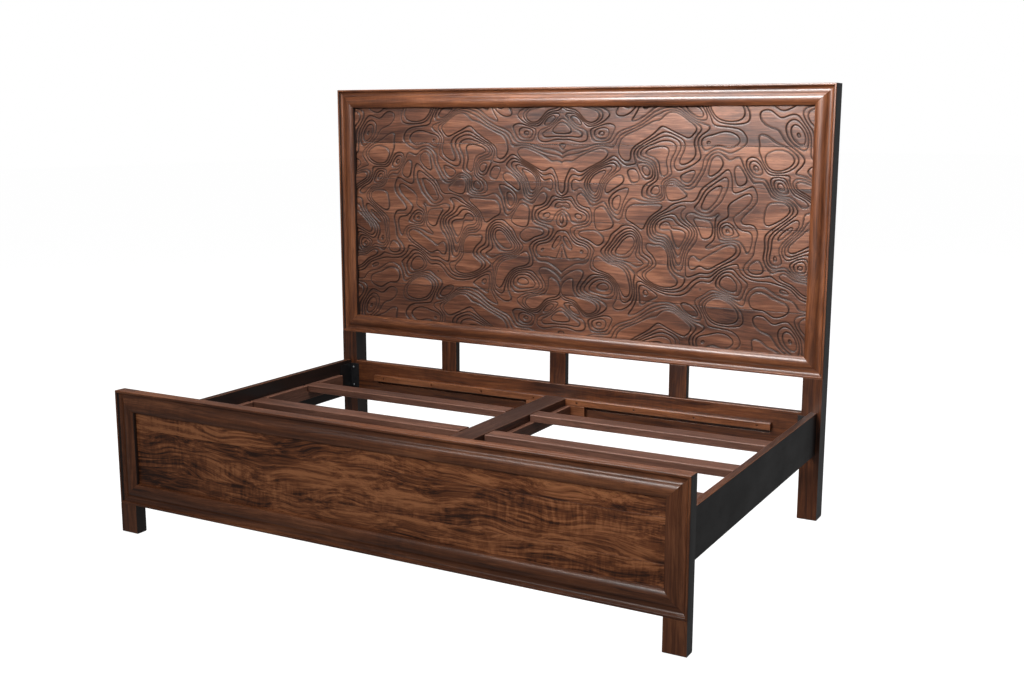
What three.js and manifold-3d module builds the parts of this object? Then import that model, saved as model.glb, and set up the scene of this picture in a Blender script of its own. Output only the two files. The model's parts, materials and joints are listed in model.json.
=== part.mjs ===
// Wooden bed frame with a carved headboard: framed headboard and footboard, side rails,
// a centre beam on an adjustable leg, and slats that lift out.
// Millimetres. X runs across the bed, +Y from the foot to the head, +Z up.
// The origin is on the floor, under the middle of the whole bed.
import * as THREE from "three";
import Module from "manifold-3d";
import { mergeVertices } from "three/addons/utils/BufferGeometryUtils.js";

const wasm = await Module();
wasm.setup();

// ---- driving dimensions -------------------------------------------------------------
const bedWidth = 2080;
const bedDepth = 1358;
const gap = 0.3; // clearance between parts that touch

const postWidth = 70;
const mouldingWidth = 74;
const mouldingDepth = 20;
const bevel = 1.5;

const head = { height: 1535, thickness: 73, frameBottom: 517, panelThickness: 20 };
const foot = { height: 501, thickness: 44, frameBottom: 102, panelThickness: 14 };

const sideRail = { inset: 15, thickness: 25, bottom: 242, height: 153 };
const lowerRail = { bottom: 246, top: 392, thickness: 30 };
const stile = { width: 70, pitch: 501 };

const slat = { width: 70, thickness: 27, top: 342, pitch: 332, endGap: 3, beamGap: 6 };
const ledger = { width: 22, height: 57, endSpace: 90, notchPlay: 8 };
const beam = { width: 92, height: 84, ledgerWidth: 22, ledgerHeight: 40 };
const cleat = { outerEnd: 865, height: 26, depth: 20, firstHole: 95, holePitch: 240.5, holes: 4 };
const groove = { height: 13, depth: 12, endInset: 6 }; // runs in the rail under each cleat
const socket = { halfWidth: 128, bottom: 236 };

const bracket = { legOnPost: 41, legOnRail: 75, thickness: 3, bottom: 275, top: 380 };
const screw = { x: 985, low: 286, high: 363, headRadius: 4.5, headHeight: 2.4, shankRadius: 2.4 };
const centreLeg = { side: 60, bottom: 18, boreRadius: 6.5, boreTop: 72 };
const glide = { radius: 24, height: 9, stemRadius: 5, stemTop: 60 };

// ---- planes worked out from them ----------------------------------------------------
const halfWidth = bedWidth / 2;
const innerX = halfWidth - postWidth; // inner faces of the posts
const headBack = bedDepth / 2;
const headFront = headBack - head.thickness;
const headCore = headFront + mouldingDepth; // front of the framing behind the moulding
const footFront = -bedDepth / 2;
const footBack = footFront + foot.thickness;
const footCore = footFront + mouldingDepth;
const railOuter = halfWidth - sideRail.inset;
const railInner = railOuter - sideRail.thickness;
const bayMiddle = (headFront + footBack) / 2;
const slatBottom = slat.top - slat.thickness;
const beamBottom = slat.top - beam.height;
const beamSide = beam.width / 2;

// ---- materials ----------------------------------------------------------------------
const paint = (color, roughness, metalness = 0) =>
  new THREE.MeshStandardMaterial({ color, roughness, metalness });
const walnut = paint(0x6b4230, 0.42);
const carvedWalnut = paint(0x7a5545, 0.4);
const figuredWalnut = paint(0x5f3a26, 0.45);
const darkRail = paint(0x3a3436, 0.55);
const slatWood = paint(0x66453a, 0.6);
const blackSteel = paint(0x0c0d0f, 0.45, 0.3);
const screwSteel = paint(0xb9bcc0, 0.3, 1);
const glideNylon = paint(0x1c1c1e, 0.5);

const bed = new THREE.Group();

function add(name, material, geometry) {
  const mesh = new THREE.Mesh(geometry, material);
  mesh.name = name;
  bed.add(mesh);
  return mesh;
}

// ---- solids -------------------------------------------------------------------------
// An outline of [u, v] points run along one axis: (y, z) along x, (z, x) along y, (x, y) along z.
const extrudeBases = {
  x: [[0, 1, 0], [0, 0, 1], [1, 0, 0]],
  y: [[0, 0, 1], [1, 0, 0], [0, 1, 0]],
  z: [[1, 0, 0], [0, 1, 0], [0, 0, 1]],
};

function placeInBasis(geometry, [u, v, w]) {
  const matrix = new THREE.Matrix4().makeBasis(
    new THREE.Vector3(...u), new THREE.Vector3(...v), new THREE.Vector3(...w));
  return geometry.applyMatrix4(matrix);
}

function prism(axis, outline, from, to) {
  const shape = new THREE.Shape(outline.map(([u, v]) => new THREE.Vector2(u, v)));
  const geometry = new THREE.ExtrudeGeometry(shape, { depth: to - from, bevelEnabled: false });
  geometry.translate(0, 0, from);
  return placeInBasis(geometry, extrudeBases[axis]);
}

function bevelledRectangle([u0, u1], [v0, v1], b = bevel) {
  return [
    [u0 + b, v0], [u1 - b, v0], [u1, v0 + b], [u1, v1 - b],
    [u1 - b, v1], [u0 + b, v1], [u0, v1 - b], [u0, v0 + b],
  ];
}

// A straight board with bevelled long edges, run along its longest side.
function board(x, y, z, b = bevel) {
  const length = ([low, high]) => high - low;
  if (length(x) >= Math.max(length(y), length(z))) return prism("x", bevelledRectangle(y, z, b), ...x);
  if (length(y) >= length(z)) return prism("y", bevelledRectangle(z, x, b), ...y);
  return prism("z", bevelledRectangle(x, y, b), ...z);
}

function toSolid(geometry) {
  const bare = geometry.clone();
  bare.deleteAttribute("normal");
  bare.deleteAttribute("uv");
  const merged = mergeVertices(bare, 1e-3);
  return new wasm.Manifold(new wasm.Mesh({
    numProp: 3,
    vertProperties: new Float32Array(merged.attributes.position.array),
    triVerts: new Uint32Array(merged.index.array),
  }));
}

function toGeometry(solid) {
  const { vertProperties, triVerts } = solid.getMesh();
  const geometry = new THREE.BufferGeometry();
  geometry.setAttribute("position", new THREE.BufferAttribute(new Float32Array(vertProperties), 3));
  geometry.setIndex(new THREE.BufferAttribute(new Uint32Array(triVerts), 1));
  geometry.computeVertexNormals();
  return geometry;
}

const cut = (geometry, tools) =>
  toGeometry(tools.reduce((solid, tool) => solid.subtract(toSolid(tool)), toSolid(geometry)));

// A round tool or pin along Y, centred on (x, z), between two y values.
function rodAlongY(radius, x, z, from, to) {
  const geometry = new THREE.CylinderGeometry(radius, radius, to - from, 16);
  return geometry.translate(x, (from + to) / 2, z);
}

const sides = [["left", -1], ["right", 1]];
const ordered = (a, b) => [Math.min(a, b), Math.max(a, b)];

// ---- mouldings ----------------------------------------------------------------------
// The section, as distance in from the outer edge and height above the framing:
// a flat outer fillet, a scooped cove, and a broad roll that drops to the panel.
function mouldingSection() {
  const top = mouldingDepth;
  const crest = top - 0.5;
  const low = gap;
  const shape = new THREE.Shape();
  shape.moveTo(0, low);
  shape.lineTo(mouldingWidth, low);
  shape.lineTo(mouldingWidth, 2.5);
  shape.lineTo(mouldingWidth - 2, 11.5);
  shape.quadraticCurveTo(mouldingWidth - 11.5, crest, mouldingWidth - 24, crest);
  shape.quadraticCurveTo(38, crest, 30, 12.5);
  shape.quadraticCurveTo(26, 9, 19, 9);
  shape.quadraticCurveTo(11, 9, 8, top - 2);
  shape.lineTo(6, top);
  shape.lineTo(2, top);
  shape.lineTo(0, top - 2);
  return shape;
}

// Inward direction of each length; the face looks towards -Y, at the foot of the bed.
const mouldingSides = { top: [0, 0, -1], bottom: [0, 0, 1], left: [1, 0, 0], right: [-1, 0, 0] };

function moulding(side, bottom, top, coreY) {
  const inward = new THREE.Vector3(...mouldingSides[side]);
  const outward = new THREE.Vector3(0, -1, 0);
  const along = new THREE.Vector3().crossVectors(inward, outward);
  const across = Math.abs(inward.x) > 0;
  const halfLength = across ? (top - bottom) / 2 : halfWidth;
  const halfReach = across ? halfWidth : (top - bottom) / 2;
  const geometry = new THREE.ExtrudeGeometry(
    mouldingSection(), { depth: 2, bevelEnabled: false, curveSegments: 6 });
  geometry.translate(0, 0, -1);
  const points = geometry.attributes.position;
  const mitreGap = 0.25;
  for (let i = 0; i < points.count; i += 1) {
    const mitred = halfLength - points.getX(i) - mitreGap;
    points.setZ(i, Math.sign(points.getZ(i)) * mitred);
  }
  placeInBasis(geometry, [inward.toArray(), outward.toArray(), along.toArray()]);
  const middle = (top + bottom) / 2;
  geometry.translate(-inward.x * halfReach, coreY, middle - inward.z * halfReach);
  geometry.computeVertexNormals();
  return geometry;
}

function addMouldings(prefix, size, coreY) {
  for (const side of Object.keys(mouldingSides)) {
    add(`${prefix}_moulding_${side}`, walnut, moulding(side, size.frameBottom, size.height, coreY));
  }
}

// ---- posts --------------------------------------------------------------------------
// Each post is full thickness as a leg, and steps back above it to carry the moulding.
function post(size, legFront, core, back, holes) {
  const legTop = size.frameBottom - gap;
  const outline = [
    [legFront + 3, 0], [back - 3, 0], [back, 3], [back, size.height],
    [core, size.height], [core, legTop], [legFront, legTop], [legFront, 3],
  ];
  return (side) => {
    const [low, high] = ordered(side * innerX, side * halfWidth);
    return cut(prism("x", outline, low, high), holes(side));
  };
}

function screwHoles(side, from, to, radius) {
  return [screw.low, screw.high].map((z) => rodAlongY(radius, side * screw.x, z, from, to));
}

function addPosts() {
  const pilot = screw.shankRadius + gap;
  const headPost = post(head, headFront, headCore, headBack,
    (side) => screwHoles(side, headFront - 1, headFront + 32, pilot));
  const footPost = post(foot, footFront, footCore, footBack,
    (side) => screwHoles(side, footBack - 18, footBack + 1, pilot));
  for (const [name, side] of sides) {
    add(`headboard_post_${name}`, walnut, headPost(side));
    add(`footboard_post_${name}`, walnut, footPost(side));
  }
}

// ---- headboard ----------------------------------------------------------------------
const acrossPosts = [-innerX + gap, innerX - gap];

function addHeadboardFraming() {
  const core = [headCore, headBack];
  const thin = [headFront, headFront + lowerRail.thickness];
  const panelTop = head.height - postWidth;
  add("headboard_top_rail", walnut, board(acrossPosts, core, [panelTop, head.height]));
  add("headboard_middle_rail", walnut,
    board(acrossPosts, core, [head.frameBottom, head.frameBottom + postWidth]));
  const lower = board(acrossPosts, thin, [lowerRail.bottom, lowerRail.top]);
  add("headboard_lower_rail", walnut, cut(lower, sides.map(([, side]) => cleatGroove(side))));
  ["left", "centre", "right"].forEach((name, i) => {
    const x = (i - 1) * stile.pitch;
    const across = [x - stile.width / 2, x + stile.width / 2];
    const upright = [lowerRail.top + gap, head.frameBottom - gap];
    add(`headboard_stile_${name}`, walnut, board(across, thin, upright));
  });
}

function cleatGroove(side) {
  const length = cleat.outerEnd - groove.endInset - socket.halfWidth;
  const tool = new THREE.BoxGeometry(length, groove.depth * 2, groove.height);
  const middle = socket.halfWidth + length / 2;
  return tool.translate(side * middle, headFront, slat.top - cleat.height - groove.height / 2);
}

// Panels are glued up from wide boards, numbered from the bottom.
function addPanel(prefix, material, bottom, top, seams, frontY, thickness) {
  const levels = [bottom, ...seams, top];
  for (let i = 0; i + 1 < levels.length; i += 1) {
    const z = [levels[i] + gap / 2, levels[i + 1] - gap / 2];
    const y = [frontY, frontY + thickness];
    add(`${prefix}_panel_board_${i + 1}`, material, board(acrossPosts, y, z, 0.5));
  }
}

function addHeadboardPanel() {
  const bottom = head.frameBottom + postWidth + gap;
  const top = head.height - postWidth - gap;
  const seams = [740, 885, 1030, 1175, 1320];
  addPanel("headboard", carvedWalnut, bottom, top, seams, headCore, head.panelThickness);
}

function addCleats() {
  const y = [headFront - cleat.depth, headFront - gap];
  for (const [name, side] of sides) {
    const x = ordered(side * (beamSide + gap), side * cleat.outerEnd);
    const holes = [];
    for (let i = 0; i < cleat.holes; i += 1) {
      const holeX = side * (cleat.firstHole + i * cleat.holePitch);
      holes.push(rodAlongY(4, holeX, slat.top - cleat.height / 2, y[0] - 1, y[0] + 12));
    }
    const bar = board(x, y, [slat.top - cleat.height, slat.top], 2);
    add(`headboard_cleat_${name}`, walnut, cut(bar, holes));
  }
}

// A U-shaped block that carries one end of the centre beam.
function beamSocket(from, to) {
  const top = slat.top - cleat.height - gap;
  const notch = beamSide + gap;
  const floor = beamBottom - gap;
  const w = socket.halfWidth;
  const outline = [
    [socket.bottom, -w], [socket.bottom, w], [top, w], [top, notch],
    [floor, notch], [floor, -notch], [top, -notch], [top, -w],
  ];
  return prism("y", outline, from, to);
}

// ---- footboard ----------------------------------------------------------------------
function addFootboardFraming() {
  const core = [footCore, footBack];
  const railTop = foot.frameBottom + postWidth;
  add("footboard_top_rail", walnut, board(acrossPosts, core, [foot.height - postWidth, foot.height]));
  add("footboard_bottom_rail", walnut, board(acrossPosts, core, [foot.frameBottom, railTop]));
}

function addFootboardPanel() {
  const bottom = foot.frameBottom + postWidth + gap;
  const top = foot.height - postWidth - gap;
  const seams = [240, 370];
  addPanel("footboard", figuredWalnut, bottom, top, seams, footCore, foot.panelThickness);
}

// ---- side rails ---------------------------------------------------------------------
const slatRows = [["foot", bayMiddle - slat.pitch], ["middle", bayMiddle], ["head", bayMiddle + slat.pitch]];

function slatLedger(side) {
  const inner = railInner - ledger.width;
  const x = ordered(side * inner, side * (railInner - gap));
  const y = [footBack + ledger.endSpace, headFront - ledger.endSpace];
  const notches = slatRows.map(([, rowY]) => {
    const half = slat.width / 2 + ledger.notchPlay;
    const size = [ledger.width + 4, half * 2, slat.thickness + 2];
    const tool = new THREE.BoxGeometry(...size);
    return tool.translate(side * (inner + ledger.width / 2), rowY, slatBottom + size[2] / 2);
  });
  return cut(board(x, y, [slat.top - ledger.height, slat.top]), notches);
}

function addSides() {
  const y = [footBack + gap, headFront - gap];
  const z = [sideRail.bottom, sideRail.bottom + sideRail.height];
  for (const [name, side] of sides) {
    const x = ordered(side * railInner, side * railOuter);
    add(`side_rail_${name}`, darkRail, board(x, y, z));
    add(`slat_ledger_${name}`, slatWood, slatLedger(side));
  }
}

// ---- corner brackets and their screws -----------------------------------------------
// An L in plan: one leg on the post, one along the rail's inner face.
function cornerBracket(side, toHead) {
  const wall = toHead ? headFront - gap : footBack + gap;
  const inward = toHead ? -1 : 1;
  const x0 = railInner - gap;
  const x1 = x0 - bracket.thickness;
  const x2 = x0 - bracket.legOnPost;
  const y1 = wall + inward * bracket.thickness;
  const y2 = wall + inward * bracket.legOnRail;
  let outline = [[x0, wall], [x2, wall], [x2, y1], [x1, y1], [x1, y2], [x0, y2]];
  outline = outline.map(([x, y]) => [side * x, y]);
  const plate = prism("z", outline, bracket.bottom, bracket.top);
  const holeEnds = ordered(wall - inward, y1 + inward);
  return cut(plate, screwHoles(side, ...holeEnds, screw.shankRadius + 0.5));
}

// A round-headed screw: head on the plate, shank through it into the post.
function bracketScrew(side, toHead, z) {
  const inward = toHead ? -1 : 1;
  const plateFace = (toHead ? headFront : footBack) + inward * (2 * gap + bracket.thickness);
  const shankLength = toHead ? 30 : 20;
  const profile = [
    [0, -shankLength], [screw.shankRadius * 0.5, -shankLength], [screw.shankRadius, 3 - shankLength],
    [screw.shankRadius, 0], [screw.headRadius, 0], [screw.headRadius, screw.headHeight * 0.45],
    [screw.headRadius * 0.6, screw.headHeight], [0, screw.headHeight],
  ];
  const geometry = new THREE.LatheGeometry(profile.map(([r, h]) => new THREE.Vector2(r, h)), 16);
  if (inward < 0) geometry.rotateX(Math.PI);
  return geometry.translate(side * screw.x, plateFace, z);
}

function addBrackets() {
  for (const [end, toHead] of [["head", true], ["foot", false]]) {
    for (const [name, side] of sides) {
      add(`corner_bracket_${end}_${name}`, blackSteel, cornerBracket(side, toHead));
      add(`bracket_screw_${end}_${name}_lower`, screwSteel, bracketScrew(side, toHead, screw.low));
      add(`bracket_screw_${end}_${name}_upper`, screwSteel, bracketScrew(side, toHead, screw.high));
    }
  }
}

// ---- centre beam, its leg and the slats ---------------------------------------------
function addBeam() {
  const y = [footBack + gap, headFront - gap];
  add("centre_beam", slatWood, board([-beamSide, beamSide], y, [beamBottom, slat.top]));
  const clear = cleat.depth + gap;
  const ledgerY = [footBack + clear, headFront - clear];
  const ledgerTop = slatBottom - gap;
  for (const [name, side] of sides) {
    const x = ordered(side * (beamSide + gap), side * (beamSide + gap + beam.ledgerWidth));
    add(`beam_ledger_${name}`, slatWood, board(x, ledgerY, [ledgerTop - beam.ledgerHeight, ledgerTop]));
  }
  add("headboard_beam_socket", walnut, beamSocket(headFront - cleat.depth, headFront - gap));
  add("footboard_beam_socket", walnut, beamSocket(footBack + gap, footBack + cleat.depth));
}

function addCentreLeg() {
  const half = centreLeg.side / 2;
  const leg = board([-half, half], [bayMiddle - half, bayMiddle + half],
    [centreLeg.bottom, beamBottom - gap], 3);
  const boreLength = centreLeg.boreTop - centreLeg.bottom + 5;
  const bore = new THREE.CylinderGeometry(centreLeg.boreRadius, centreLeg.boreRadius, boreLength, 24);
  bore.rotateX(Math.PI / 2);
  bore.translate(0, bayMiddle, centreLeg.boreTop - boreLength / 2);
  add("centre_leg", slatWood, cut(leg, [bore]));
  const profile = [
    [0, 0], [glide.radius - 2, 0], [glide.radius, 2], [glide.radius, glide.height - 2],
    [glide.radius - 4, glide.height], [glide.stemRadius, glide.height],
    [glide.stemRadius, glide.stemTop - 1.5], [glide.stemRadius - 1.5, glide.stemTop], [0, glide.stemTop],
  ];
  const foot = new THREE.LatheGeometry(profile.map(([r, h]) => new THREE.Vector2(r, h)), 24);
  foot.rotateX(Math.PI / 2);
  add("levelling_glide", glideNylon, foot.translate(0, bayMiddle, 0));
}

function addSlats() {
  for (const [row, y] of slatRows) {
    for (const [name, side] of sides) {
      const x = ordered(side * (beamSide + slat.beamGap), side * (railInner - slat.endGap));
      const across = [y - slat.width / 2, y + slat.width / 2];
      add(`slat_${row}_${name}`, slatWood, board(x, across, [slatBottom + gap, slat.top + gap], 2));
    }
  }
}

addPosts();
addHeadboardFraming();
addMouldings("headboard", head, headCore);
addHeadboardPanel();
addCleats();
addFootboardFraming();
addMouldings("footboard", foot, footCore);
addFootboardPanel();
addSides();
addBrackets();
addBeam();
addCentreLeg();
addSlats();

export default bed;
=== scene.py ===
"""The looks of a walnut bed frame with a carved headboard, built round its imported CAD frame.

Metres, in the CAD's own frame: +X across the bed, +Y from the foot to the head, +Z up.
Sawn boards and hardware are copies of their CAD nodes with eased edges. The mouldings and
the carved boards are built anew, between the limits of their CAD nodes. Each wooden piece
has a plank grain of its own.
"""

import json
import math

import bmesh
import bpy
import numpy as np
from mathutils import Matrix, Vector


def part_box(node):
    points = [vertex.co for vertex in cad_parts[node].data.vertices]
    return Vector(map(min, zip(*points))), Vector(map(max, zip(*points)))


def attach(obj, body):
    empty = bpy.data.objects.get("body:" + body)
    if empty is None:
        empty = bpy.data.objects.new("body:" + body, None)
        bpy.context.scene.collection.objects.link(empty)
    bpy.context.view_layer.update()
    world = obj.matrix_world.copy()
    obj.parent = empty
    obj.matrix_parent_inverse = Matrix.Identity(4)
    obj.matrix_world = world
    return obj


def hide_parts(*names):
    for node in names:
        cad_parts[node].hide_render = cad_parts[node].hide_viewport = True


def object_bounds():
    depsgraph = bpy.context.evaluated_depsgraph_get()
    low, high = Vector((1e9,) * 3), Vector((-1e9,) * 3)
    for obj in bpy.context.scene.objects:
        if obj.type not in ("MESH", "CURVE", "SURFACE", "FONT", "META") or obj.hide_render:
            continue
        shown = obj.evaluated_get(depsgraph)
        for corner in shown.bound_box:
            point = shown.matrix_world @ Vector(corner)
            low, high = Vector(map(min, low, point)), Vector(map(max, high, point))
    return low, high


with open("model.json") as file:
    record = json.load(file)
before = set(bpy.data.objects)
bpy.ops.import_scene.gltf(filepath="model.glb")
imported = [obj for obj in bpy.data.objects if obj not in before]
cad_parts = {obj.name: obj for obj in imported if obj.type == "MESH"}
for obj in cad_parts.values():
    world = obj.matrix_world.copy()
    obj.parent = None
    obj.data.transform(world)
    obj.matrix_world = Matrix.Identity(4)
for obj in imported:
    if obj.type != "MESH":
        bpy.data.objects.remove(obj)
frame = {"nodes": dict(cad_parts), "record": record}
cad_low, cad_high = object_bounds()

MM = 0.001

# Rounding of the edges of pieces.
BOARD_EASE = 1.6 * MM
POST_EASE = 2.2 * MM
BEARER_EASE = 2.0 * MM  # of the slats, the centre beam and its leg
CLEAT_EASE = 0.8 * MM
PANEL_EASE = 0.3 * MM
METAL_EASE = 0.4 * MM

WELD_DISTANCE = 0.02 * MM
FLAT_ANGLE = math.radians(0.5)  # CAD faces that meet at less than this are one flat face
EASED_ANGLE = math.radians(28)  # edges sharper than this are rounded
INNER_SIDE_SHADE = 0.9  # strength of the darkening on faces that look to the middle of the bed: painted shade


# ---- node helpers ---------------------------------------------------------------------

class Nodes:
    """A small builder round a material's node tree."""

    def __init__(self, name):
        self.material = bpy.data.materials.new(name)
        self.material.use_nodes = True
        self.tree = self.material.node_tree
        self.shader = self.tree.nodes["Principled BSDF"]

    def put(self, socket, value):
        if hasattr(value, "is_linked"):
            self.tree.links.new(value, socket)
        else:
            socket.default_value = value

    def node(self, kind, out=0, settings=None, **inputs):
        made = self.tree.nodes.new(kind)
        for key, value in (settings or {}).items():
            setattr(made, key, value)
        for key, value in inputs.items():
            self.put(made.inputs[key.replace("_", " ")], value)
        return made.outputs[out]

    def math(self, operation, a, b=0.0, clamp=False):
        made = self.tree.nodes.new("ShaderNodeMath")
        made.operation = operation
        made.use_clamp = clamp
        self.put(made.inputs[0], a)
        self.put(made.inputs[1], b)
        return made.outputs[0]

    def vector(self, operation, a, b):
        made = self.tree.nodes.new("ShaderNodeVectorMath")
        made.operation = operation
        self.put(made.inputs[0], a)
        self.put(made.inputs[1], b)
        return made.outputs[0]

    def attribute(self, name, out="Fac"):
        return self.node("ShaderNodeAttribute", out, {"attribute_name": name})

    def noise(self, vector, scale, detail=2.0, roughness=0.5, distortion=0.0, out=0):
        return self.node("ShaderNodeTexNoise", out, Vector=vector, Scale=scale,
                         Detail=detail, Roughness=roughness, Distortion=distortion)

    def span(self, value, low, high, start=0.0, end=1.0):
        return self.node("ShaderNodeMapRange", 0, {"clamp": True}, Value=value,
                         **{"From_Min": low, "From_Max": high, "To_Min": start, "To_Max": end})

    def ramp(self, factor, stops):
        made = self.tree.nodes.new("ShaderNodeValToRGB")
        points = made.color_ramp.elements
        while len(points) < len(stops):
            points.new(0.5)
        for point, (place, color) in zip(points, stops):
            point.position = place
            point.color = (*color, 1.0)
        self.put(made.inputs["Fac"], factor)
        return made.outputs["Color"]

    def mix(self, factor, a, b):
        made = self.tree.nodes.new("ShaderNodeMix")
        made.data_type = "RGBA"
        self.put(made.inputs["Factor"], factor)
        self.put(made.inputs[6], a)
        self.put(made.inputs[7], b)
        return made.outputs[2]

    def bump(self, height, distance, strength=1.0):
        made = self.tree.nodes.new("ShaderNodeBump")
        self.put(made.inputs["Height"], height)
        made.inputs["Distance"].default_value = distance
        made.inputs["Strength"].default_value = strength
        return made.outputs["Normal"]


# ---- materials ------------------------------------------------------------------------
# Wood reads these attributes of its mesh. "plank" is the place in the tree: metres along,
# across and through the grain. A tone makes one board lighter or darker; the darker tone of
# pieces that get less light is painted shade. A side strength darkens faces that look
# sideways: nearly black outside, and a little browner inside as painted shade. "edge" is 1 on
# eased edges and on the lips of the carving, which are lighter: worn lacquer, and a painted
# highlight. A groove mask is 1 on the carving's walls, grooves and seams, and darkens them:
# painted shade, with a little lacquer built up in the steps.

PORE_SHADE = 0.35  # colour of the pores, as a share of the wood's dark colour
# colour of the painted shade on the carving's walls, grooves and seams, as a share of the wood's dark
# colour
GROOVE_SHADE_SHARE = 0.3
WEAR_AND_HIGHLIGHT_SHARE = 1.25  # colour of the lighter edges, as a share of the wood's light colour: worn lacquer, and a painted highlight
# colours of the darkened faces that look sideways; on the inner faces the darkening is painted shade
SIDE_DARK_COLORS = ((0.012, 0.010, 0.010, 1.0), (0.022, 0.018, 0.018, 1.0))


def shade(color, share):
    """The colour made darker or lighter, with an alpha of 1."""
    return (*[c * share for c in color], 1.0)


def walnut(name, tones, figure=0.0, bands=0.5, streaks=0.5, swirl=0.05,
           gloss=0.34, coat=0.15, sheen=0.25, wear_and_highlight=0.3):
    """Lacquered walnut. tones are its dark, middle and light colours."""
    n = Nodes(name)
    plank = n.attribute("plank", "Vector")
    waves = n.noise(n.vector("MULTIPLY", plank, (2.0, 5.0, 5.0)), 1.0, 2.0, 0.5, 0.0, "Color")
    drift = n.vector("MULTIPLY", n.vector("SUBTRACT", waves, (0.5, 0.5, 0.5)), (0.0, swirl, swirl))
    grain = n.vector("ADD", plank, drift)

    broad = n.noise(n.vector("MULTIPLY", grain, (1.7, 8.0, 8.0)), 1.0, 4.0, 0.6, 0.8)
    streak = n.noise(n.vector("MULTIPLY", grain, (2.4, 95.0, 95.0)), 1.0, 5.0, 0.65, 0.35)
    fine = n.noise(n.vector("MULTIPLY", grain, (9.0, 420.0, 420.0)), 1.0, 3.0, 0.6)
    pores = n.span(n.noise(n.vector("MULTIPLY", grain, (26.0, 900.0, 900.0)), 1.0, 2.0), 0.60, 0.72)

    mixed = n.math("MULTIPLY", n.math("SUBTRACT", broad, 0.5), bands * 2.4)
    mixed = n.math("ADD", mixed, 0.5)
    mixed = n.math("ADD", mixed, n.math("MULTIPLY", n.math("SUBTRACT", streak, 0.5), streaks * 2.2))
    mixed = n.math("ADD", mixed, n.math("MULTIPLY", n.math("SUBTRACT", fine, 0.5), 0.8))
    if figure > 0:
        ripple = n.noise(n.vector("MULTIPLY", grain, (75.0, 16.0, 16.0)), 1.0, 2.0, 0.5, 0.6)
        patch = n.span(n.noise(n.vector("MULTIPLY", plank, (1.6, 6.0, 6.0)), 1.0, 2.0), 0.42, 0.62)
        curl = n.math("MULTIPLY", n.math("SUBTRACT", ripple, 0.5), patch)
        mixed = n.math("ADD", mixed, n.math("MULTIPLY", curl, figure))
    mixed = n.math("ADD", mixed, n.attribute("tone_and_shade"), clamp=True)

    dark, middle, light = tones
    color = n.ramp(mixed, [(0.08, dark), (0.5, middle), (0.92, light)])
    color = n.mix(n.math("MULTIPLY", pores, 0.45), color, shade(dark, PORE_SHADE))
    # painted shade on the carving's walls, in its grooves and along its seams, with a little lacquer
    # built up in the steps
    color = n.mix(n.math("MULTIPLY", n.attribute("groove_shade"), 0.92), color, shade(dark, GROOVE_SHADE_SHARE))
    # lighter eased edges and carving lips: worn lacquer, and a painted highlight
    color = n.mix(n.math("MULTIPLY", n.attribute("edge"), wear_and_highlight), color, shade(light, WEAR_AND_HIGHLIGHT_SHARE))
    # faces that look sideways, darkened nearly black; on the inner faces this is painted shade
    dark_sides = n.mix(n.math("MULTIPLY", fine, 0.5), *SIDE_DARK_COLORS)
    color = n.mix(n.attribute("side_darkening"), color, dark_sides)
    n.put(n.shader.inputs["Base Color"], color)

    smudge = n.noise(n.vector("MULTIPLY", plank, (6.0, 9.0, 9.0)), 1.0, 3.0)
    rough = n.span(smudge, 0.3, 0.7, gloss - 0.06, gloss + 0.08)
    rough = n.math("ADD", rough, n.math("MULTIPLY", pores, 0.2))
    rough = n.math("ADD", rough, n.math("MULTIPLY", n.attribute("groove_shade"), 0.3))
    n.put(n.shader.inputs["Roughness"], rough)
    n.shader.inputs["Coat Weight"].default_value = coat
    n.shader.inputs["Coat Roughness"].default_value = sheen
    n.shader.inputs["Specular IOR Level"].default_value = 0.4

    relief = n.math("SUBTRACT", n.math("MULTIPLY", streak, 0.6), n.math("MULTIPLY", pores, 0.7))
    n.put(n.shader.inputs["Normal"], n.bump(relief, 0.25 * MM, 0.5))
    return n.material


def powder_coat(name):
    """Black powder coated steel, with the fine orange peel of the coating."""
    n = Nodes(name)
    place = n.node("ShaderNodeTexCoord", "Object")
    peel = n.noise(place, 900.0, 3.0)
    dust = n.noise(place, 60.0, 4.0)
    coat = n.ramp(dust, [(0.3, (0.006, 0.006, 0.007)), (0.8, (0.016, 0.016, 0.017))])
    n.put(n.shader.inputs["Base Color"], coat)
    n.put(n.shader.inputs["Roughness"], n.span(dust, 0.3, 0.7, 0.38, 0.52))
    n.put(n.shader.inputs["Normal"], n.bump(peel, 0.05 * MM, 0.6))
    return n.material


def zinc(name):
    """Zinc plated steel with turning marks and a little dull patina."""
    n = Nodes(name)
    place = n.node("ShaderNodeTexCoord", "Object")
    patina = n.noise(place, 300.0, 4.0)
    marks = n.noise(n.vector("MULTIPLY", place, (200.0, 2500.0, 2500.0)), 1.0, 2.0)
    plating = n.ramp(patina, [(0.3, (0.42, 0.43, 0.45)), (0.7, (0.66, 0.67, 0.69))])
    n.put(n.shader.inputs["Base Color"], plating)
    n.shader.inputs["Metallic"].default_value = 1.0
    n.put(n.shader.inputs["Roughness"], n.span(patina, 0.3, 0.7, 0.22, 0.4))
    n.put(n.shader.inputs["Normal"], n.bump(marks, 0.02 * MM, 0.5))
    return n.material


def nylon(name):
    """Moulded black nylon."""
    n = Nodes(name)
    place = n.node("ShaderNodeTexCoord", "Object")
    cloud = n.noise(place, 120.0, 3.0)
    moulded = n.ramp(cloud, [(0.3, (0.012, 0.012, 0.012)), (0.7, (0.022, 0.022, 0.023))])
    n.put(n.shader.inputs["Base Color"], moulded)
    n.put(n.shader.inputs["Roughness"], n.span(cloud, 0.3, 0.7, 0.45, 0.6))
    n.put(n.shader.inputs["Normal"], n.bump(n.noise(place, 1500.0), 0.03 * MM, 0.5))
    return n.material


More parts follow.
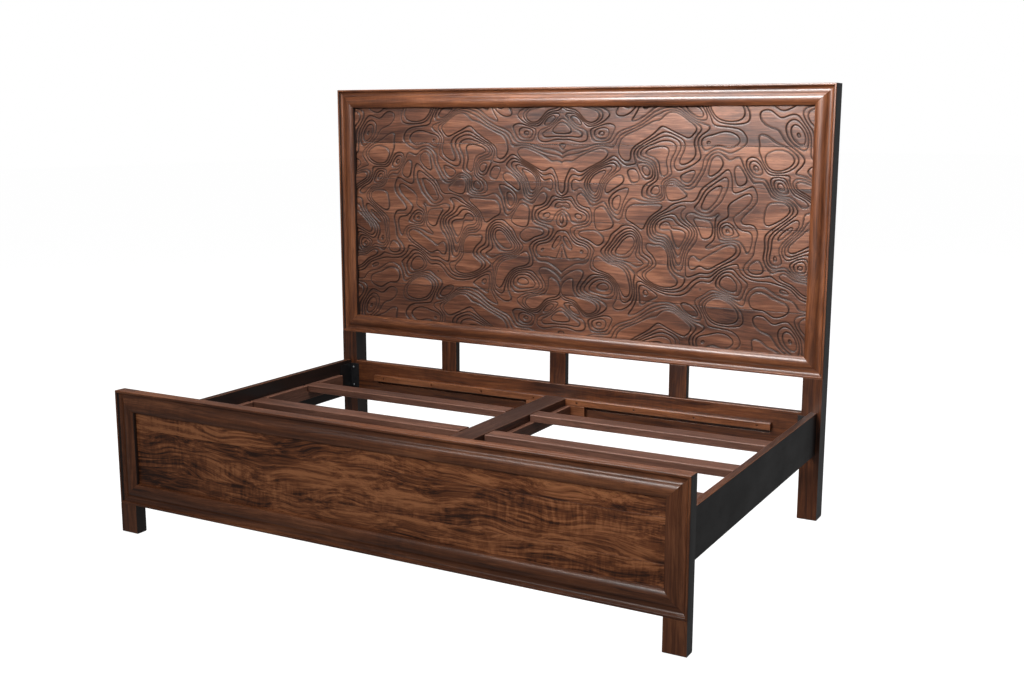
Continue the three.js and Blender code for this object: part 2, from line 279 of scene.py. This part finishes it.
def studio_floor(name):
    """A plain pale floor that glows nearly white, as an overexposed studio floor does."""
    n = Nodes(name)
    place = n.node("ShaderNodeTexCoord", "Object")
    paint = n.ramp(n.noise(place, 2.0), [(0.0, (0.24, 0.24, 0.24)), (1.0, (0.26, 0.26, 0.26))])
    n.put(n.shader.inputs["Base Color"], paint)
    n.shader.inputs["Emission Color"].default_value = (1.0, 1.0, 1.0, 1.0)
    n.shader.inputs["Emission Strength"].default_value = 0.96
    n.shader.inputs["Roughness"].default_value = 0.9
    n.shader.inputs["Specular IOR Level"].default_value = 0.1
    return n.material


FRAME_TONES = ((0.030, 0.008, 0.003), (0.132, 0.040, 0.0135), (0.29, 0.105, 0.042))
CARVED_TONES = ((0.030, 0.010, 0.006), (0.128, 0.046, 0.024), (0.29, 0.118, 0.063))
FIGURED_TONES = ((0.036, 0.011, 0.005), (0.200, 0.063, 0.0225), (0.46, 0.175, 0.070))
SLAT_TONES = ((0.046, 0.019, 0.012), (0.142, 0.062, 0.040), (0.25, 0.115, 0.074))

WOODS = {
    "walnut_frame": walnut("walnut_frame", FRAME_TONES, figure=0.25, coat=0.55, sheen=0.22),
    "carved_walnut": walnut("carved_walnut", CARVED_TONES, bands=0.75, streaks=0.6, swirl=0.06,
                            gloss=0.38, coat=0.2, wear_and_highlight=0.15),
    "figured_walnut": walnut("figured_walnut", FIGURED_TONES, figure=1.1, bands=0.9, streaks=1.1,
                             swirl=0.2, coat=0.1, wear_and_highlight=0.05),
    "dark_rail": walnut("dark_rail", FRAME_TONES, bands=0.4),
    "slat_wood": walnut("slat_wood", SLAT_TONES, gloss=0.42, coat=0.12),
}
HARDWARE = {
    "black_steel": powder_coat("black_steel"),
    "screw_steel": zinc("screw_steel"),
    "glide_nylon": nylon("glide_nylon"),
}
SLOT_OF = {part["node"]: part["material_slot"] for part in frame["record"]["subparts"]}
BODIES = frame["record"]["behaviour"]["bodies"]
BODY_OF = {node: body for body, nodes in BODIES.items() for node in nodes}


# ---- planks ---------------------------------------------------------------------------

GRAIN_ORDER = {"x": (0, 2, 1), "y": (1, 0, 2), "z": (2, 0, 1)}  # by the fibres' direction
plank_count = 0


def grain_places(mesh, grain):
    """Each point's place along, across and through the grain, whose fibres run along x, y or z."""
    places = np.empty(len(mesh.vertices) * 3)
    mesh.vertices.foreach_get("co", places)
    return places.reshape(-1, 3)[:, GRAIN_ORDER[grain]]


def store(mesh, name, values, domain="POINT"):
    """Stores numbers, or rows of three numbers, as an attribute of the mesh."""
    kind = "FLOAT_VECTOR" if values.ndim == 2 else "FLOAT"
    field = "vector" if values.ndim == 2 else "value"
    layer = mesh.attributes.new(name, kind, domain)
    layer.data.foreach_set(field, values.astype(np.float32).ravel())


def set_plank(mesh, along, tone_and_shade=0.0):
    """Gives the mesh its own place in a tree. along holds each point's metres along the grain,
    across it and through it."""
    global plank_count
    plank_count += 1
    offset = np.random.default_rng(plank_count).uniform(-9.0, 9.0, 3)
    store(mesh, "plank", along + offset)
    store(mesh, "tone_and_shade", np.full(len(along), tone_and_shade))


def finish_piece(name, mesh, node, material):
    """Makes the piece that stands for a CAD node and rides on the node's body."""
    piece = bpy.data.objects.new(name, mesh)
    bpy.context.scene.collection.objects.link(piece)
    mesh.materials.clear()
    mesh.materials.append(material)
    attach(piece, BODY_OF[node])
    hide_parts(node)
    return piece


def weigh_normals(piece):
    """Keeps large flat faces evenly shaded up to their rounded edges."""
    shading = piece.modifiers.new("even_faces", "WEIGHTED_NORMAL")
    shading.weight = 90
    shading.keep_sharp = True


def mark_faces(mesh, name, marks):
    """Stores one number for each face, which changes sharply at the face's border."""
    corners = np.repeat(marks, [face.loop_total for face in mesh.polygons])
    store(mesh, name, corners, "CORNER")


def darken_side_faces(mesh):
    """Darkens the faces that look sideways: nearly black outside, and a little browner inside, as painted
    shade.
    """
    marks = np.zeros(len(mesh.polygons))
    for face in mesh.polygons:
        if abs(face.normal.x) > 0.8:
            outside = face.normal.x * face.center.x > 0
            marks[face.index] = 1.0 if outside else INNER_SIDE_SHADE
    mark_faces(mesh, "side_darkening", marks)


def eased_mesh(node, ease, segments=3):
    """The CAD node's mesh with its edges rounded. Only the faces of the rounding have edge 1."""
    mesh = frame["nodes"][node].data.copy()
    mesh.name = node + "_eased"
    shape = bmesh.new()
    shape.from_mesh(mesh)
    bmesh.ops.remove_doubles(shape, verts=shape.verts, dist=WELD_DISTANCE)
    bmesh.ops.dissolve_limit(shape, angle_limit=FLAT_ANGLE, verts=shape.verts, edges=shape.edges)
    sharp = [edge for edge in shape.edges if edge.is_manifold and edge.calc_face_angle(0.0) > EASED_ANGLE]
    made = bmesh.ops.bevel(shape, geom=sharp, offset=ease, offset_type="OFFSET", segments=segments,
                           profile=0.5, affect="EDGES", clamp_overlap=True)
    shape.faces.index_update()
    rounded = sorted(face.index for face in made["faces"])
    shape.to_mesh(mesh)
    shape.free()
    mesh.shade_smooth()
    marks = np.zeros(len(mesh.polygons))
    marks[rounded] = 1.0
    mark_faces(mesh, "edge", marks)
    return mesh


def board(node, grain, ease=BOARD_EASE, tone_and_shade=0.0, dark_sides=False):
    """A sawn board, from its CAD node."""
    mesh = eased_mesh(node, ease)
    set_plank(mesh, grain_places(mesh, grain), tone_and_shade)
    if dark_sides:
        darken_side_faces(mesh)
    piece = finish_piece(node + "_board", mesh, node, WOODS[SLOT_OF[node]])
    weigh_normals(piece)


# ---- mouldings ------------------------------------------------------------------------

SHARP_ANGLE = math.radians(40)  # edges of a moulding sharper than this stay crisp
MITRE_GAP = 0.12 * MM
MOULDING_TONE = 0.02


INWARD = {"top": Vector((0, 0, -1)), "bottom": Vector((0, 0, 1)),
          "left": Vector((1, 0, 0)), "right": Vector((-1, 0, 0))}


def quadratic(start, control, end, steps):
    """Points of a quadratic curve after its start."""
    points = []
    for i in range(1, steps + 1):
        t = i / steps
        points.append(tuple((1 - t) ** 2 * a + 2 * t * (1 - t) * b + t * t * c
                            for a, b, c in zip(start, control, end)))
    return points


def moulding_section(width, depth, back):
    """The section in mm, from the outer edge in: bead, cove, and a roll that drops to the panel.

    Each point is (distance from the outer edge, height over the core's face)."""
    crest = depth - 0.4
    bead = [(0, back), (0, depth - 1.6)]
    bead += quadratic(bead[-1], (0, depth), (1.8, depth), 4)
    bead += [(6.0, depth)]
    bead += quadratic(bead[-1], (7.4, depth), (8.0, depth - 2.0), 4)
    cove = quadratic(bead[-1], (11.0, 9.0), (19.0, 9.0), 8)
    cove += quadratic(cove[-1], (26.0, 9.0), (30.0, 12.5), 7)
    roll = quadratic(cove[-1], (38.0, crest), (width - 24, crest), 10)
    roll += quadratic(roll[-1], (width - 11.5, crest), (width - 2, 11.5), 10)
    inner = quadratic(roll[-1], (width - 0.4, 10.0), (width, 2.6), 5)
    inner += [(width, back)]
    return bead + cove + roll + inner


def sweep(name, section, half_length, place_at):
    """A length of a moulding with mitred ends. place_at(run, inset, height) is a point's place.

    Returns the mesh, and each point's place along, across and through the grain."""
    places, planks = [], []
    for end in (-1, 1):
        for inset_mm, height_mm in section:
            inset = inset_mm * MM
            height = height_mm * MM
            run = end * (half_length - inset - MITRE_GAP)
            places.append(tuple(place_at(run, inset, height)))
            planks.append((run, inset, height))
    count = len(section)
    walls = [(i, (i + 1) % count, count + (i + 1) % count, count + i) for i in range(count)]
    ends = [tuple(range(count))[::-1], tuple(range(count, 2 * count))]
    mesh = bpy.data.meshes.new(name)
    mesh.from_pydata(places, [], walls + ends)
    shape = bmesh.new()
    shape.from_mesh(mesh)
    bmesh.ops.recalc_face_normals(shape, faces=shape.faces)
    shape.to_mesh(mesh)
    shape.free()
    return mesh, np.array(planks)


def moulding(side, prefix, core_y, low_z, high_z):
    """One mitred length of the frame that runs round a board."""
    node = f"{prefix}_moulding_{side}"
    lowest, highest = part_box(node)
    upright = side in ("left", "right")
    width = (highest.x - lowest.x if upright else highest.z - lowest.z) / MM
    depth = (core_y - lowest.y) / MM
    back = (core_y - highest.y) / MM
    inward = INWARD[side]
    along = Vector((0, 0, 1)) if upright else Vector((1, 0, 0))
    half_width = (cad_high.x - cad_low.x) / 2
    half_height = (high_z - low_z) / 2
    half_length, reach = (half_height, half_width) if upright else (half_width, half_height)
    middle = Vector((0, core_y, (high_z + low_z) / 2))

    def place_at(run, inset, height):
        return middle - inward * (reach - inset) + Vector((0, -height, 0)) + along * run

    mesh, planks = sweep(node + "_swept", moulding_section(width, depth, back), half_length, place_at)
    mesh.shade_smooth()
    mesh.set_sharp_from_angle(angle=SHARP_ANGLE)
    set_plank(mesh, planks, MOULDING_TONE)
    store(mesh, "edge", np.zeros(len(mesh.vertices)))
    darken_side_faces(mesh)
    finish_piece(node + "_length", mesh, node, WOODS["walnut_frame"])


def add_mouldings():
    for prefix, core in (("headboard", "headboard_top_rail"), ("footboard", "footboard_top_rail")):
        core_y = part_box(core)[0].y
        low_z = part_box(f"{prefix}_moulding_bottom")[0].z
        high_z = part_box(f"{prefix}_moulding_top")[1].z
        for side in ("top", "bottom", "left", "right"):
            moulding(side, prefix, core_y, low_z, high_z)


# ---- carved headboard -----------------------------------------------------------------
# The carving is a contour map of gentle made-up ground: level terraces, with one step down
# from each to the next. It is mirrored left to right, and it repeats up the headboard.
# Lengths here are in mm.

PATTERN_REPEAT = 725.0
WAVE_COUNT = 36
SHORTEST_WAVE = 100.0
LONGEST_WAVE = 270.0
BEND = 16.0  # how far the waves are pushed about, so that they don't run straight
FIRST_TERRACE = -0.9  # height of the ground at the first step down
TERRACE_RISE = 0.56
TERRACE_COUNT = 6
STEP_DEPTH = 2.6
WALL_WIDTH = 3.6  # of the sloping wall of a step
GROOVE_DEPTH = 1.5  # of the gouge line along the foot of a wall
GROOVE_WIDTH = 2.0
LIP_WIDTH = 1.6  # of the lighter line along the top of a wall: rubbed lacquer, and a painted highlight
DEEPEST = 17.0
CARVING_GRID = 2.0 * MM
CARVING_SEED = 7
CARVED_BOARD_TONES = (-0.05, -0.02, 0.03, -0.03, 0.04, 0.02)  # from the lowest board up


def ground_height(x, z):
    """Height of the ground: waves with seeded directions, each a whole count in one repeat."""
    seeded = np.random.default_rng(CARVING_SEED)
    turn = 2.0 * math.pi / PATTERN_REPEAT
    bent_x = x + BEND * np.sin(3.0 * turn * z + x / 61.0)
    bent_z = z + BEND * np.sin(2.0 * turn * z + x / 83.0)
    height = np.zeros_like(x)
    for _ in range(WAVE_COUNT):
        length = seeded.uniform(SHORTEST_WAVE, LONGEST_WAVE)
        angle = seeded.uniform(0.0, math.pi)
        phase = seeded.uniform(0.0, 2.0 * math.pi)
        up = turn * round(PATTERN_REPEAT * math.sin(angle) / length)
        sideways = 2.0 * math.pi * math.cos(angle) / length
        height += np.cos(sideways * bent_x + up * bent_z + phase)
    return height / math.sqrt(WAVE_COUNT / 2)


def bell(distance, width):
    """1 where the distance is 0, falling to nothing over about twice the width."""
    return np.exp(-(distance / width) ** 2)


def carving(x, z):
    """Depth in mm, and how far each point lies on a wall and on its lip, from 0 to 1."""
    height = ground_height(np.abs(x), z)
    slope_z, slope_x = np.gradient(height, z[:, 0], x[0])
    slope = np.hypot(slope_x, slope_z) + 1e-4  # never zero, because the distance divides by it
    depth, wall, lip = np.zeros_like(x), np.zeros_like(x), np.zeros_like(x)
    for i in range(TERRACE_COUNT):
        distance = (FIRST_TERRACE + i * TERRACE_RISE - height) / slope  # in mm, from the middle of a wall
        share = np.clip(0.5 - distance / WALL_WIDTH, 0.0, 1.0)
        groove = bell(distance + 0.55 * WALL_WIDTH, GROOVE_WIDTH)
        depth += STEP_DEPTH * share * share * (3.0 - 2.0 * share) + GROOVE_DEPTH * groove
        # the walls' share darkens the colour later, as painted shade
        wall = np.maximum(wall, bell(distance + 0.3 * WALL_WIDTH, 0.95 * WALL_WIDTH))
        lip = np.maximum(lip, bell(distance - 0.9 * WALL_WIDTH, LIP_WIDTH))
    return np.minimum(depth, DEEPEST), wall, lip


def block_faces(columns, rows):
    """Faces of a block whose front is a grid of points, and whose back has a row of points
    along its bottom and one along its top. The grid's points come first, then the back's."""
    wide = columns + 1
    back = wide * (rows + 1)
    step = np.arange(columns)
    low, high = step, wide * rows + step
    back_low, back_high = back + step, back + wide + step
    corner = (np.arange(rows)[:, None] * wide + step[None]).ravel()
    faces = np.concatenate([
        np.stack([corner, corner + 1, corner + 1 + wide, corner + wide], -1),
        np.stack([low + 1, low, back_low, back_low + 1], -1),
        np.stack([high, high + 1, back_high + 1, back_high], -1),
        np.stack([back_low + 1, back_low, back_high, back_high + 1], -1),
    ]).tolist()
    left = (np.arange(rows + 1) * wide).tolist()
    right = [point + columns for point in left]
    faces.append([*left, back + wide, back])
    faces.append([*right[::-1], back + columns, back + wide + columns])
    return faces


def carved_board(node, tone_and_shade):
    """One board of the headboard's panel: its face is carved, its back and sides are flat."""
    lowest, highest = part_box(node)
    columns = int(round((highest.x - lowest.x) / CARVING_GRID))
    rows = int(round((highest.z - lowest.z) / CARVING_GRID))
    xs = np.linspace(lowest.x, highest.x, columns + 1)
    zs = np.linspace(lowest.z, highest.z, rows + 1)
    grid_x, grid_z = np.meshgrid(xs, zs)
    depth, wall, lip = carving(grid_x / MM, grid_z / MM)
    wall[[0, -1]] = 1.0  # painted shade along the seams between the boards
    front = np.stack([grid_x, lowest.y + depth * MM, grid_z], -1).reshape(-1, 3)
    back_x, back_z = np.meshgrid(xs, (lowest.z, highest.z))
    back = np.stack([back_x, np.full_like(back_x, highest.y), back_z], -1).reshape(-1, 3)
    mesh = bpy.data.meshes.new(node + "_carved")
    mesh.from_pydata(np.concatenate([front, back]).tolist(), [], block_faces(columns, rows))
    smooth = np.zeros(len(mesh.polygons), dtype=bool)
    smooth[:rows * columns] = True
    mesh.polygons.foreach_set("use_smooth", smooth)
    plain = np.zeros(len(back))
    set_plank(mesh, grain_places(mesh, "x"), tone_and_shade)
    # the lips are made lighter (worn lacquer and a painted highlight), the walls and seams darker
    # (painted shade)
    store(mesh, "edge", np.concatenate([lip.ravel(), plain]))
    store(mesh, "groove_shade", np.concatenate([wall.ravel(), plain]))
    finish_piece(node + "_carved", mesh, node, WOODS["carved_walnut"])


# ---- boards by name -------------------------------------------------------------------

def add_boards():
    # the darker tones of the headboard posts, side rails, lower rail, stiles and centre beam are painted
    # shade, for the light that falls less on them
    for side in ("left", "right"):
        board(f"headboard_post_{side}", "z", POST_EASE, tone_and_shade=-0.2, dark_sides=True)
        board(f"footboard_post_{side}", "z", POST_EASE, dark_sides=True)
        board(f"side_rail_{side}", "y", tone_and_shade=-0.28, dark_sides=True)
        board(f"slat_ledger_{side}", "y")
        board(f"beam_ledger_{side}", "y")
        board(f"headboard_cleat_{side}", "x", CLEAT_EASE, tone_and_shade=0.18)
        for row in ("foot", "middle", "head"):
            board(f"slat_{row}_{side}", "x", BEARER_EASE)
    for node in ("headboard_top_rail", "headboard_middle_rail",
                 "footboard_top_rail", "footboard_bottom_rail"):
        board(node, "x", tone_and_shade=0.1)
    board("headboard_lower_rail", "x", tone_and_shade=-0.2)
    for place in ("left", "centre", "right"):
        board(f"headboard_stile_{place}", "z", tone_and_shade=-0.3, dark_sides=True)
    for end in ("headboard", "footboard"):
        board(f"{end}_beam_socket", "x")
    board("centre_beam", "y", BEARER_EASE, tone_and_shade=-0.4)
    board("centre_leg", "z", BEARER_EASE)
    for i in (1, 2, 3):
        board(f"footboard_panel_board_{i}", "x", PANEL_EASE)
    for i, tone_and_shade in enumerate(CARVED_BOARD_TONES, start=1):
        carved_board(f"headboard_panel_board_{i}", tone_and_shade)


# ---- steel and nylon ------------------------------------------------------------------

def add_hardware():
    for node, slot in SLOT_OF.items():
        if slot in HARDWARE:
            piece = finish_piece(node + "_part", eased_mesh(node, METAL_EASE, 2), node, HARDWARE[slot])
            weigh_normals(piece)


# ---- studio ---------------------------------------------------------------------------

def soft_light(name, place, target, size, energy, spread=180.0):
    """A softbox. A spread below 180 degrees is a grid on its front, which narrows its beam."""
    data = bpy.data.lights.new(name, "AREA")
    data.shape = "RECTANGLE"
    data.size, data.size_y = size
    data.energy = energy
    data.spread = math.radians(spread)
    lamp = bpy.data.objects.new(name, data)
    lamp.location = place
    lamp.rotation_euler = (Vector(target) - Vector(place)).to_track_quat("-Z", "Y").to_euler()
    bpy.context.scene.collection.objects.link(lamp)
    return lamp


def add_world():
    """A dim room round the object, and a white background behind it."""
    world = bpy.data.worlds.new("studio")
    world.use_nodes = True
    background = world.node_tree.nodes["Background"]
    background.inputs["Color"].default_value = (1.0, 1.0, 1.0, 1.0)
    seen = world.node_tree.nodes.new("ShaderNodeLightPath").outputs["Is Camera Ray"]
    strength = world.node_tree.nodes.new("ShaderNodeMapRange")
    strength.inputs["To Min"].default_value = 0.12
    strength.inputs["To Max"].default_value = 1.0
    world.node_tree.links.new(seen, strength.inputs["Value"])
    world.node_tree.links.new(strength.outputs[0], background.inputs["Strength"])
    bpy.context.scene.world = world


def add_floor():
    """A pale floor under the bed, which runs far behind it so that no horizon shows."""
    left, right, front, back = -30.0, 30.0, -6.0, 60.0
    corners = [(left, front, 0), (right, front, 0), (right, back, 0), (left, back, 0)]
    floor = bpy.data.meshes.new("floor")
    floor.from_pydata(corners, [], [(0, 1, 2, 3)])
    floor.materials.append(studio_floor("studio_floor"))
    ground = bpy.data.objects.new("floor", floor)
    ground.visible_diffuse = False
    ground.visible_glossy = False
    bpy.context.scene.collection.objects.link(ground)


def add_studio():
    add_world()
    add_floor()
    soft_light("overhead", (-0.3, -0.1, 3.1), (-0.1, 0.1, 0.6), (3.0, 1.3), 74.0)
    soft_light("front", (-0.4, -3.1, 2.7), (0.8, 0.6, 1.75), (2.6, 1.2), 37.0, 58.0)
    soft_light("fill", (0.3, -5.0, 2.8), (0.1, -0.6, 0.3), (2.4, 1.6), 60.0)
    for name, side in (("rear_left", -1), ("rear_right", 1)):
        rear = soft_light(name, (side * 2.2, 3.4, 4.4), (0.0, 0.6, 0.7), (2.4, 1.8), 80.0)
        rear.visible_glossy = False
    bpy.context.scene.view_settings.view_transform = "Standard"


def add_camera():
    """Stands at the right of the foot of the bed, at eye height, and looks a little down."""
    data = bpy.data.cameras.new("camera")
    data.lens = 42.28
    data.sensor_width = 36.0
    data.clip_end = 200.0
    camera = bpy.data.objects.new("camera", data)
    camera.location = (2.0865, -3.5239, 1.3944)
    turn, tilt, roll = math.radians(29.01), math.radians(10.22), math.radians(-0.09)
    level = Matrix.Rotation(turn, 4, "Z") @ Matrix.Rotation(math.pi / 2 - tilt, 4, "X")
    camera.rotation_euler = (level @ Matrix.Rotation(-roll, 4, "Z")).to_euler()
    bpy.context.scene.collection.objects.link(camera)
    bpy.context.scene.camera = camera


add_camera()
add_mouldings()
add_boards()
add_hardware()
add_studio()
